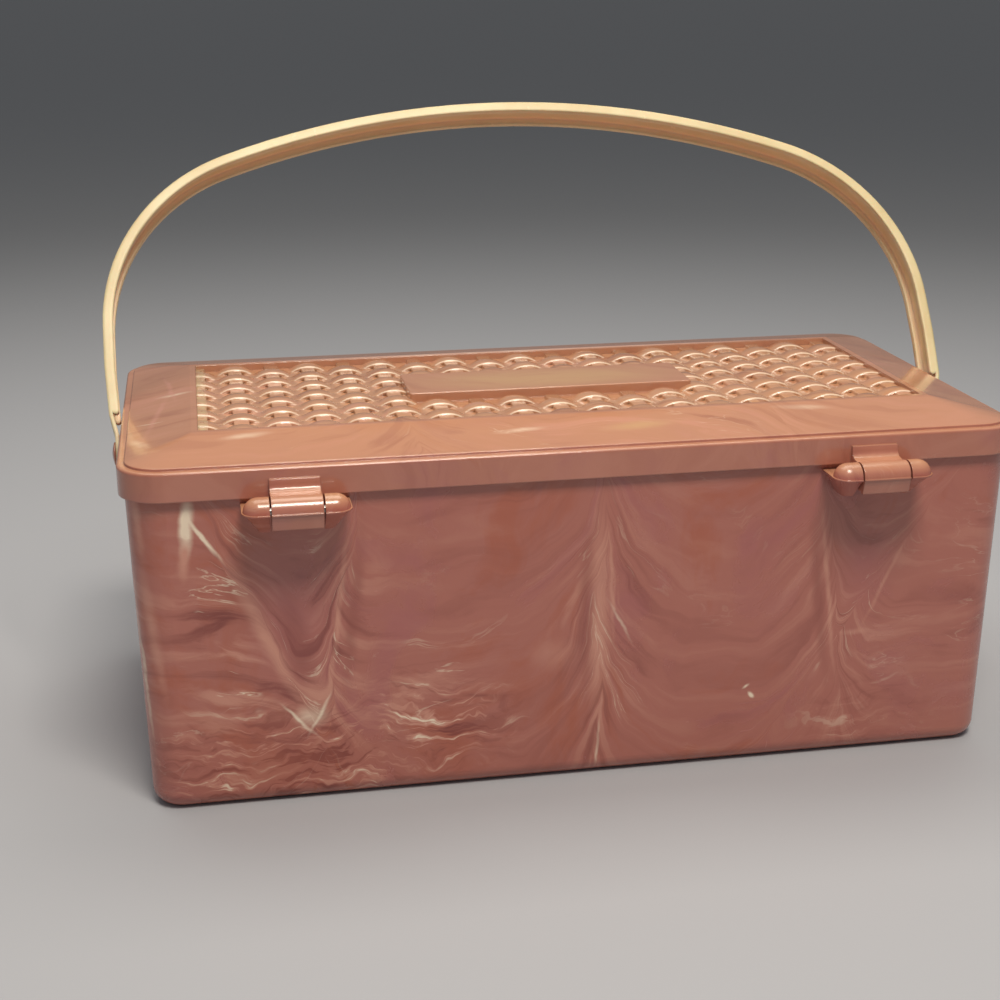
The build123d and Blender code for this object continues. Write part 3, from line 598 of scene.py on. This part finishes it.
def studio_paper(name, colours):
    """Matt paper floor, pale round the caddy and darker far off, where less light reaches it."""
    material, tree = new_material(name)
    place = add_node(tree, "TexCoord").outputs["Object"]
    distance = add_node(tree, "VectorMath", {0: place}, operation="LENGTH")
    far = add_node(
        tree, "MapRange", {"Value": distance.outputs["Value"], "From Min": 0.35, "From Max": 1.5},
        interpolation_type="SMOOTHSTEP",
    )
    colour = add_node(
        tree, "Mix", {MIX_SHARE: far, MIX_A: colours.floor, MIX_B: colours.floor_far},
        data_type="RGBA",
    )
    fibres = add_node(tree, "TexNoise", {"Vector": place, "Scale": 300.0, "Detail": 4.0})
    bump = add_node(tree, "Bump", {"Height": fibres, "Strength": 0.05, "Distance": 0.1 * MM})
    shader = add_node(
        tree, "BsdfPrincipled",
        {"Base Color": colour.outputs[MIXED], "Roughness": 0.8, "Normal": bump},
    )
    finish_material(tree, shader)
    return material


def dress(node, material):
    """Gives a node of the model its finish."""
    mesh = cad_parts[node].data
    mesh.materials.clear()
    mesh.materials.append(material)


# Patterns of the melt, in millimetres and degrees. A flow line has its X at half the box's
# height, how far it leans, its reach, and the pull on its left and right. A lively or layered
# area has its strength, and a streak its tone and strength, then the middle of an oval, its
# half sizes and how far its top leans to the right. On the box an oval's second place is its
# height, and on the lid it is its Y.
# Tan is the share of tan painted on upward faces, and on all that stands above the panel's
# floor, as a painted sheen from the light above; side_tan is the part of it that other faces
# have. Calm is the strength of the feathers outside the lively areas. The worn value sets how
# pale the painted rim highlights are, upper_only keeps the streaks off all but upward faces,
# and edge is the rounding.
BOX_PATTERN = {
    "lay": box_place,
    "seed": 0.0,
    "tan": 0.6,
    "side_tan": 0.0,
    "calm": 0.20,
    "roughness": (0.20, 0.30),
    "gloss": 0.15,
    "wear_and_rim_highlight": 0.0,
    "dusty": False,
    "upper_only": False,
    "edge": 0.35,
    "flow_lines": [
        (-115, -0.43, 18, -0.2, 1.1),
        (-92.5, 0.14, 15, 1.1, 0.3),
        (4.5, 0.0, 36, 0.6, 0.6),
        (95.5, -0.15, 34, 0.5, 0.0),
        (95.5, -0.15, 14, 0.0, 1.0),
        (104, 0.7, 14, 0.9, 0.2),
    ],
    "lively": [
        (1.2, -116, 60, 66, 84, 0),
        (0.7, -52, 42, 46, 46, 0),
        (0.75, 6, 56, 36, 90, 0),
        (0.6, 102, 58, 54, 90, 0),
        (0.4, 152, 60, 36, 96, 0),
        (0.4, -158, 60, 30, 96, 0),
    ],
    "layered": [
        (1.8, -112, 14, 64, 34, 4),
        (1.2, -60, 26, 42, 30, 0),
        (0.35, 110, 14, 40, 22, 0),
    ],
    "streaks": [
        ("mauve", 1.0, -108, 74, 24, 44, 0),
        ("brick", 0.6, -118, 14, 62, 34, 0),
        # The rose and cream streaks down the left front corner are partly marbling and partly a painted
        # highlight on the corner's rounding.
        ("rose", 1.1, -159.0, 112, 2.4, 20, -4),
        ("cream", 0.7, -160.0, 52, 1.0, 34, -3),
        ("rose", 0.9, -156.0, 70, 3.0, 36, -6),
        ("cream", 1.6, -142.4, 109, 3.4, 15, 6),
        ("rose", 1.4, -143.8, 97, 3.0, 10, 4),
        ("cream", 1.6, -137, 105, 1.2, 15, -32),
        ("rose", 1.2, -117, 66, 4.5, 46, -23),
        ("wine", 0.6, -106, 62, 8, 26, -12),
        ("rose", 1.0, -91.5, 72, 1.8, 44, 8),
        ("wine", 0.5, -86, 74, 4.0, 44, 7),
        ("cream", 0.8, -102, 34, 8, 6, 0),
        ("rose", 0.8, -100, 42, 12, 12, 0),
        ("cream", 1.1, -106.5, 32.5, 1.0, 12, -42),
        ("cream", 1.1, -99.0, 34.5, 1.0, 12, 28),
        ("rose", 1.2, 4, 64, 6.0, 58, 0),
        ("rose", 0.8, 8.5, 74, 1.2, 28, -3),
        ("cream", 0.5, 12, 62, 0.8, 14, -28),
        ("wine", 0.5, -1, 66, 4.4, 44, 0),
        ("rose", 0.6, -13, 51, 13, 9, 0),
        ("wine", 0.7, 1, 12, 2.4, 14, 12),
        ("cream", 0.7, 4, 13, 0.9, 13, 4),
        ("rose", 1.0, 92.5, 66, 1.5, 46, -8),
        ("wine", 0.5, 88.5, 66, 3.4, 48, -8),
        ("mauve", 1.0, 106, 78, 16, 26, 0),
        ("rose", 0.8, 104, 51, 9, 1.8, 0),
        ("rose", 0.8, 114, 70, 1.3, 24, 24),
        ("cream", 1.5, 62, 31.5, 0.7, 2.2, 60),
        ("cream", 1.5, 64, 28, 1.2, 2.4, -30),
    ],
}
LID_PATTERN = {
    "lay": lid_place,
    "seed": 7.3,
    "tan": 0.5,
    "side_tan": 0.3,
    "calm": 0.16,
    "roughness": (0.15, 0.23),
    "gloss": 0.4,
    "wear_and_rim_highlight": 0.0,
    "dusty": True,
    "upper_only": True,
    "edge": 0.7,
    "flow_lines": [(-60, 0.0, 50, 0.3, 0.3), (75, 0.0, 60, -0.3, 0.3)],
    "lively": [
        (0.4, -150, 0, 30, 110, 0),
        (0.5, 0, -68, 150, 26, 0),
        (0.5, 150, 0, 30, 110, 0),
    ],
    "layered": [],
    "streaks": [
        ("tan", 1.4, 0, 0, 70, 24, 0),
        # Painted highlight: the rose and cream streaks along the back ridge stand in for the light that
        # it catches.
        ("rose", 2.0, 0, 54, 152, 5, 0),
        ("cream", 0.6, 0, 53, 152, 3, 0),
        ("cream", 0.5, -145, 8, 9, 2.5, 10),
        ("cream", 0.6, -154, -27, 7, 0.8, 15),
        ("cream", 0.5, -157, -52, 3, 10, -25),
        ("cream", 0.5, -120, -58, 12, 3, -10),
        ("cream", 0.5, -23, -65, 12, 2.5, -8),
        ("tan", 1.0, 21, -66, 20, 5, -6),
        ("cream", 0.5, 86, -58, 14, 3, 10),
        ("rose", 0.8, -152, -20, 2.0, 34, 8),
        ("rose", 0.8, -147, 20, 1.6, 30, -6),
    ],
}
WEAVE_PATTERN = dict(LID_PATTERN, tan=0.7, calm=0.4, wear_and_rim_highlight=0.75, streaks=[])
SMALL_PATTERN = dict(LID_PATTERN, seed=3.1, tan=0.4, calm=0.4, dusty=False, lively=[], streaks=[])


class CADDY_OT_box(Operator):
    """Finish the box body, its clasp and the handle's studs in marbled plastic"""

    bl_idname = "caddy.box"
    bl_label = "Box, clasp and studs"

    def execute(self, context):
        colours = context.scene.caddy_colours
        dress("box_body", marbled_plastic("marbled_polystyrene_box", colours, BOX_PATTERN))
        small = marbled_plastic("marbled_polystyrene_small", colours, SMALL_PATTERN)
        for node in ("clasp", "handle_stud_left", "handle_stud_right"):
            dress(node, small)
        return {"FINISHED"}


class CADDY_OT_lid(Operator):
    """Finish the lid in marbled plastic and model the basket weave in its sunk panel"""

    bl_idname = "caddy.lid"
    bl_label = "Lid and woven panel"

    def execute(self, context):
        colours = context.scene.caddy_colours
        dress("lid", marbled_plastic("marbled_polystyrene_lid", colours, LID_PATTERN))
        piece = weave_piece(context.scene.caddy_weave)
        weave = marbled_plastic("marbled_polystyrene_weave", colours, WEAVE_PATTERN)
        piece.data.materials.append(weave)
        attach(piece, "lid")
        return {"FINISHED"}


# Soles and stakes are sunk this far into the panel's floor.
ROOT = 0.05 * MM
# Steps along an arch, and the angle above which an edge stays sharp
ARCH_STEPS = 12
SHARP_ANGLE = math.radians(40)


def block(bm, low, high, draw_x=0.0, draw_y=0.0, round_by=0.0):
    """Block between two corners, its top drawn in and its upper edges rounded."""
    made = bmesh.ops.create_cube(bm, size=1.0)["verts"]
    size = Vector(high) - Vector(low)
    middle = (Vector(high) + Vector(low)) / 2
    bmesh.ops.scale(bm, vec=size, verts=made)
    top = [v for v in made if v.co.z > 0]
    shrink = Vector(((size.x - 2 * draw_x) / size.x, (size.y - 2 * draw_y) / size.y, 1.0))
    bmesh.ops.scale(bm, vec=shrink, verts=top)
    bmesh.ops.translate(bm, vec=middle, verts=made)
    if round_by:
        upper = {e for v in top for e in v.link_edges if e.other_vert(v) in top}
        bmesh.ops.bevel(
            bm, geom=list(upper), offset=round_by, segments=2, profile=0.5, affect="EDGES",
            material=-1,
        )


def arch_strip(bm, weave, column_pitch):
    """One arch of a strand over a stake, centred on the origin, by spinning its section."""
    rise = weave.arch_rise
    half = column_pitch / 2 + weave.foot_lap
    radius = (half**2 + rise**2) / (2 * rise)
    angle = math.asin(half / radius)
    section = bmesh.ops.create_grid(bm, x_segments=1, y_segments=1, size=0.5)["verts"]
    # The section stands across the strand, with its top on the arch's outer radius.
    bmesh.ops.rotate(bm, matrix=Matrix.Rotation(math.pi / 2, 3, "Y"), verts=section)
    bmesh.ops.scale(bm, vec=(1.0, weave.strand_width, weave.strand_thick), verts=section)
    bmesh.ops.translate(bm, vec=(0, 0, radius - weave.strand_thick / 2), verts=section)
    upper = [v for v in section if v.co.z > radius - weave.strand_thick / 2]
    bmesh.ops.bevel(
        bm, geom=upper, offset=weave.strand_round, segments=3, profile=0.5, affect="VERTICES",
        material=-1,
    )
    bmesh.ops.rotate(bm, matrix=Matrix.Rotation(-angle, 3, "Y"), verts=bm.verts)
    bmesh.ops.spin(
        bm, geom=list(bm.verts) + list(bm.edges) + list(bm.faces), cent=(0, 0, 0), axis=(0, 1, 0),
        dvec=(0, 0, 0), angle=2 * angle, steps=ARCH_STEPS, use_merge=False, use_duplicate=False,
    )
    bmesh.ops.translate(bm, vec=(0, 0, PANEL_FLOOR + rise - radius), verts=bm.verts)


def weave_piece(weave):
    """Basket weave: strands along X that arch over every other stake, and stakes along Y."""
    row_pitch = 2 * (PANEL_HALF_WIDTH - weave.margin) / weave.rows
    rows = [(i - (weave.rows - 1) / 2) * row_pitch for i in range(weave.rows)]
    free_length = 2 * PANEL_HALF_LENGTH - weave.first_stake - weave.last_stake
    column_pitch = free_length / (weave.columns - 1)
    first = weave.first_stake - PANEL_HALF_LENGTH
    columns = [first + j * column_pitch for j in range(weave.columns)]
    half_strand = weave.strand_width / 2
    # Strands that would run onto the plaque stop at its ends, and stakes before and behind it.
    free_rows = [y for y in rows if abs(y) - half_strand > PLAQUE_HALF_WIDTH]

    bm = bmesh.new()
    arch_strip(bm, weave, column_pitch)
    pattern = list(bm.verts) + list(bm.edges) + list(bm.faces)
    for i, y in enumerate(rows):
        for j, x in enumerate(columns):
            if (i + j) % 2 and (y in free_rows or abs(x) > PLAQUE_HALF_LENGTH):
                copied = bmesh.ops.duplicate(bm, geom=pattern)
                verts = [g for g in copied["geom"] if isinstance(g, bmesh.types.BMVert)]
                bmesh.ops.translate(bm, vec=(x, y, 0), verts=verts)
    spare = [g for g in pattern if isinstance(g, bmesh.types.BMVert)]
    bmesh.ops.delete(bm, geom=spare, context="VERTS")

    low = PANEL_FLOOR - ROOT
    sole_top = PANEL_FLOOR + weave.sole_height
    for y in rows:
        spans = [(-PANEL_HALF_LENGTH, PANEL_HALF_LENGTH)]
        if y not in free_rows:
            spans = [
                (-PANEL_HALF_LENGTH, -PLAQUE_HALF_LENGTH), (PLAQUE_HALF_LENGTH, PANEL_HALF_LENGTH),
            ]
        for start, end in spans:
            block(
                bm, (start, y - half_strand, low), (end, y + half_strand, sole_top),
                draw_y=weave.sole_draw,
            )
    reach = rows[-1] + half_strand
    near = min(y for y in free_rows if y > 0) - half_strand
    half_stake = weave.stake_width / 2
    stake_top = PANEL_FLOOR + weave.stake_height
    for x in columns:
        spans = [(-reach, reach)] if abs(x) > PLAQUE_HALF_LENGTH else [(-reach, -near), (near, reach)]
        for start, end in spans:
            block(
                bm, (x - half_stake, start, low), (x + half_stake, end, stake_top),
                draw_x=weave.stake_draw, round_by=weave.stake_round,
            )
    for direction in ((1, 0, 0), (-1, 0, 0), (0, 1, 0), (0, -1, 0)):
        normal = Vector(direction)
        limit = PANEL_HALF_LENGTH if direction[0] else PANEL_HALF_WIDTH
        cut = bmesh.ops.bisect_plane(
            bm, geom=list(bm.verts) + list(bm.edges) + list(bm.faces), plane_co=normal * limit,
            plane_no=normal, clear_outer=True,
        )
        rim = [g for g in cut["geom_cut"] if isinstance(g, bmesh.types.BMEdge)]
        bmesh.ops.holes_fill(bm, edges=rim, sides=0)
    bmesh.ops.recalc_face_normals(bm, faces=bm.faces)
    for face in bm.faces:
        face.smooth = True
    mesh = bpy.data.meshes.new("woven_panel")
    bm.to_mesh(mesh)
    bm.free()
    mesh.set_sharp_from_angle(angle=SHARP_ANGLE)
    piece = bpy.data.objects.new("woven_panel", mesh)
    bpy.context.scene.collection.objects.link(piece)
    return piece


class CADDY_OT_bail(Operator):
    """Finish the bail handle in cream plastic"""

    bl_idname = "caddy.bail"
    bl_label = "Bail handle"

    def execute(self, context):
        dress("handle", bail_plastic("cream_polyethylene", context.scene.caddy_colours))
        return {"FINISHED"}


class CADDY_OT_pins(Operator):
    """Finish the hinge pins and the clasp pin in drawn steel"""

    bl_idname = "caddy.pins"
    bl_label = "Pins"

    def execute(self, context):
        steel = pin_steel("drawn_steel", context.scene.caddy_colours)
        for node in ("hinge_pin_left", "hinge_pin_right", "clasp_pin"):
            dress(node, steel)
        return {"FINISHED"}


class CADDY_OT_tray(Operator):
    """Finish the lift-out tray in ivory plastic"""

    bl_idname = "caddy.tray"
    bl_label = "Lift-out tray"

    def execute(self, context):
        dress("lift_out_tray", tray_plastic("ivory_polystyrene", context.scene.caddy_colours))
        return {"FINISHED"}


def camera_axes(pitch, yaw, roll):
    """Right, up and forward of a camera that looks along +Y before it is turned."""
    level = math.cos(pitch)
    forward = Vector((math.sin(yaw) * level, math.cos(yaw) * level, -math.sin(pitch)))
    right = Vector((math.cos(yaw), -math.sin(yaw), 0.0))
    up = right.cross(forward)
    turned_right = math.cos(roll) * right + math.sin(roll) * up
    turned_up = math.cos(roll) * up - math.sin(roll) * right
    return turned_right, turned_up, forward


def area_light(name, place, size, power, colour):
    """Rectangular soft light that faces the caddy."""
    light = bpy.data.lights.new(name, "AREA")
    light.shape = "RECTANGLE"
    light.size, light.size_y = size
    light.energy = power
    light.color = colour[:3]
    made = bpy.data.objects.new(name, light)
    made.location = place
    aim = Vector(LIT_POINT) - Vector(place)
    made.rotation_euler = aim.to_track_quat("-Z", "Y").to_euler()
    bpy.context.scene.collection.objects.link(made)


def paper_floor(colours):
    """Round sheet of paper under the caddy that runs out of sight."""
    bm = bmesh.new()
    bmesh.ops.create_circle(bm, cap_ends=True, segments=96, radius=FLOOR_RADIUS)
    mesh = bpy.data.meshes.new("paper_floor")
    bm.to_mesh(mesh)
    bm.free()
    floor = bpy.data.objects.new("paper_floor", mesh)
    bpy.context.scene.collection.objects.link(floor)
    mesh.materials.append(studio_paper("studio_paper", colours))


def room_light(colour, strength, horizon_share):
    """Light of the room: bright overhead and dimmer at eye level, alike all round."""
    world = bpy.data.worlds.new("room")
    world.use_nodes = True
    tree = world.node_tree
    tree.nodes.clear()
    direction = add_node(tree, "TexCoord").outputs["Generated"]
    axes = add_node(tree, "SeparateXYZ", {"Vector": direction})
    level = add_node(
        tree, "MapRange",
        {"Value": axes.outputs["Z"], "From Min": 0.15, "From Max": 0.9,
         "To Min": strength * horizon_share, "To Max": strength},
    )
    sky = add_node(tree, "Background", {"Color": colour, "Strength": level})
    add_node(tree, "OutputWorld", {"Surface": sky})
    return world


class CADDY_OT_stage(Operator):
    """Set up the camera, the soft lights, the paper floor and the room's light"""

    bl_idname = "caddy.stage"
    bl_label = "Stage"

    def execute(self, context):
        scene = context.scene
        stage = scene.caddy_stage
        data = bpy.data.cameras.new("camera")
        data.sensor_fit = "HORIZONTAL"
        data.sensor_width = 36.0
        data.lens = data.sensor_width * stage.focal_pixels / 1000
        camera = bpy.data.objects.new("camera", data)
        right, up, forward = camera_axes(stage.pitch, stage.yaw, stage.roll)
        turn = Matrix((right, up, -forward)).transposed().to_4x4()
        camera.matrix_world = Matrix.Translation(Vector(stage.camera_place)) @ turn
        scene.collection.objects.link(camera)
        scene.camera = camera

        colours = scene.caddy_colours
        area_light("key", KEY_PLACE, KEY_SIZE, stage.key_power, colours.lamp)
        area_light("top", TOP_PLACE, TOP_SIZE, stage.top_power, colours.lamp)
        paper_floor(colours)
        scene.world = room_light(colours.sky, stage.sky_strength, stage.horizon_share)
        # The plain view transform keeps the plastic's colours as they are.
        scene.view_settings.view_transform = "Standard"
        return {"FINISHED"}


BUILD_ORDER = ("box", "lid", "bail", "pins", "tray", "stage")


class CADDY_PT_panel(Panel):
    """Lists the caddy's builders and settings"""

    bl_label = "Sewing Caddy"
    bl_idname = "CADDY_PT_panel"
    bl_space_type = "VIEW_3D"
    bl_region_type = "UI"
    bl_category = "Caddy"

    def draw(self, context):
        for step in BUILD_ORDER:
            self.layout.operator("caddy." + step)
        for group in ("caddy_colours", "caddy_weave", "caddy_stage"):
            settings = getattr(context.scene, group)
            box = self.layout.box()
            for name in settings.__annotations__:
                box.prop(settings, name)


GROUPS = {"caddy_colours": CaddyColours, "caddy_weave": CaddyWeave, "caddy_stage": CaddyStage}
OPERATORS = (CADDY_OT_box, CADDY_OT_lid, CADDY_OT_bail, CADDY_OT_pins, CADDY_OT_tray, CADDY_OT_stage)


def register():
    for cls in (*GROUPS.values(), *OPERATORS, CADDY_PT_panel):
        bpy.utils.register_class(cls)
    for name, cls in GROUPS.items():
        setattr(bpy.types.Scene, name, PointerProperty(type=cls))


def unregister():
    for name in GROUPS:
        delattr(bpy.types.Scene, name)
    for cls in (CADDY_PT_panel, *reversed(OPERATORS), *reversed(GROUPS.values())):
        bpy.utils.unregister_class(cls)


def main():
    register()
    for step in BUILD_ORDER:
        getattr(bpy.ops.caddy, step)()


if __name__ == "__main__":
    main()
